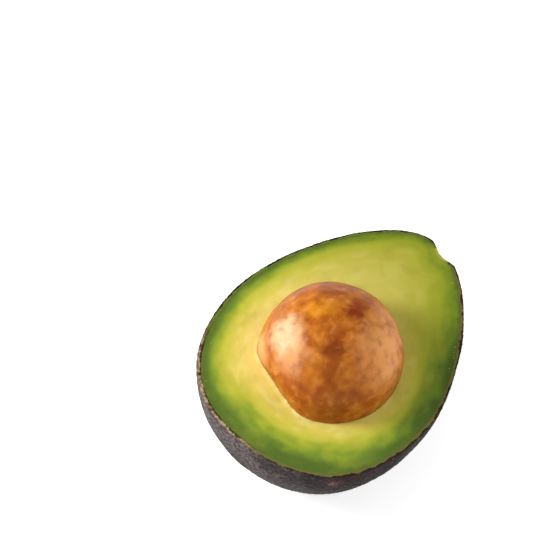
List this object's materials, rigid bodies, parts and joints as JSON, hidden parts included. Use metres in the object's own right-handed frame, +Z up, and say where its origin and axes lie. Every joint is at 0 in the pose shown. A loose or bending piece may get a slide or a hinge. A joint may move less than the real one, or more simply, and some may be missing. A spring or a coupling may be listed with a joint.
{
  "type": "halved avocado with its seed",
  "caption": "Ripe avocado cut in half lengthwise: dark pebbled peel, green-edged yellow flesh and a large round seed standing out of the flat cut face.",
  "frame": {"origin": "on the surface that the half rests on, under the middle of its bounding box", "axes": "+X along the fruit to the stem end, +Y across the cut face, +Z up out of the level cut face"},
  "size_m": [0.094, 0.072, 0.0615],
  "materials": {
    "peel": "dark purple-brown, fine pebbles, soft waxy sheen",
    "flesh": "moist smooth cut flesh, dark green at the peel and pale yellow at the seed",
    "seed": "mottled orange and dark red-brown seed coat, satin"
  },
  "bodies": {
    "root": {"peel": "peel", "flesh": "flesh", "seed": "seed"}
  },
  "joints": []
}
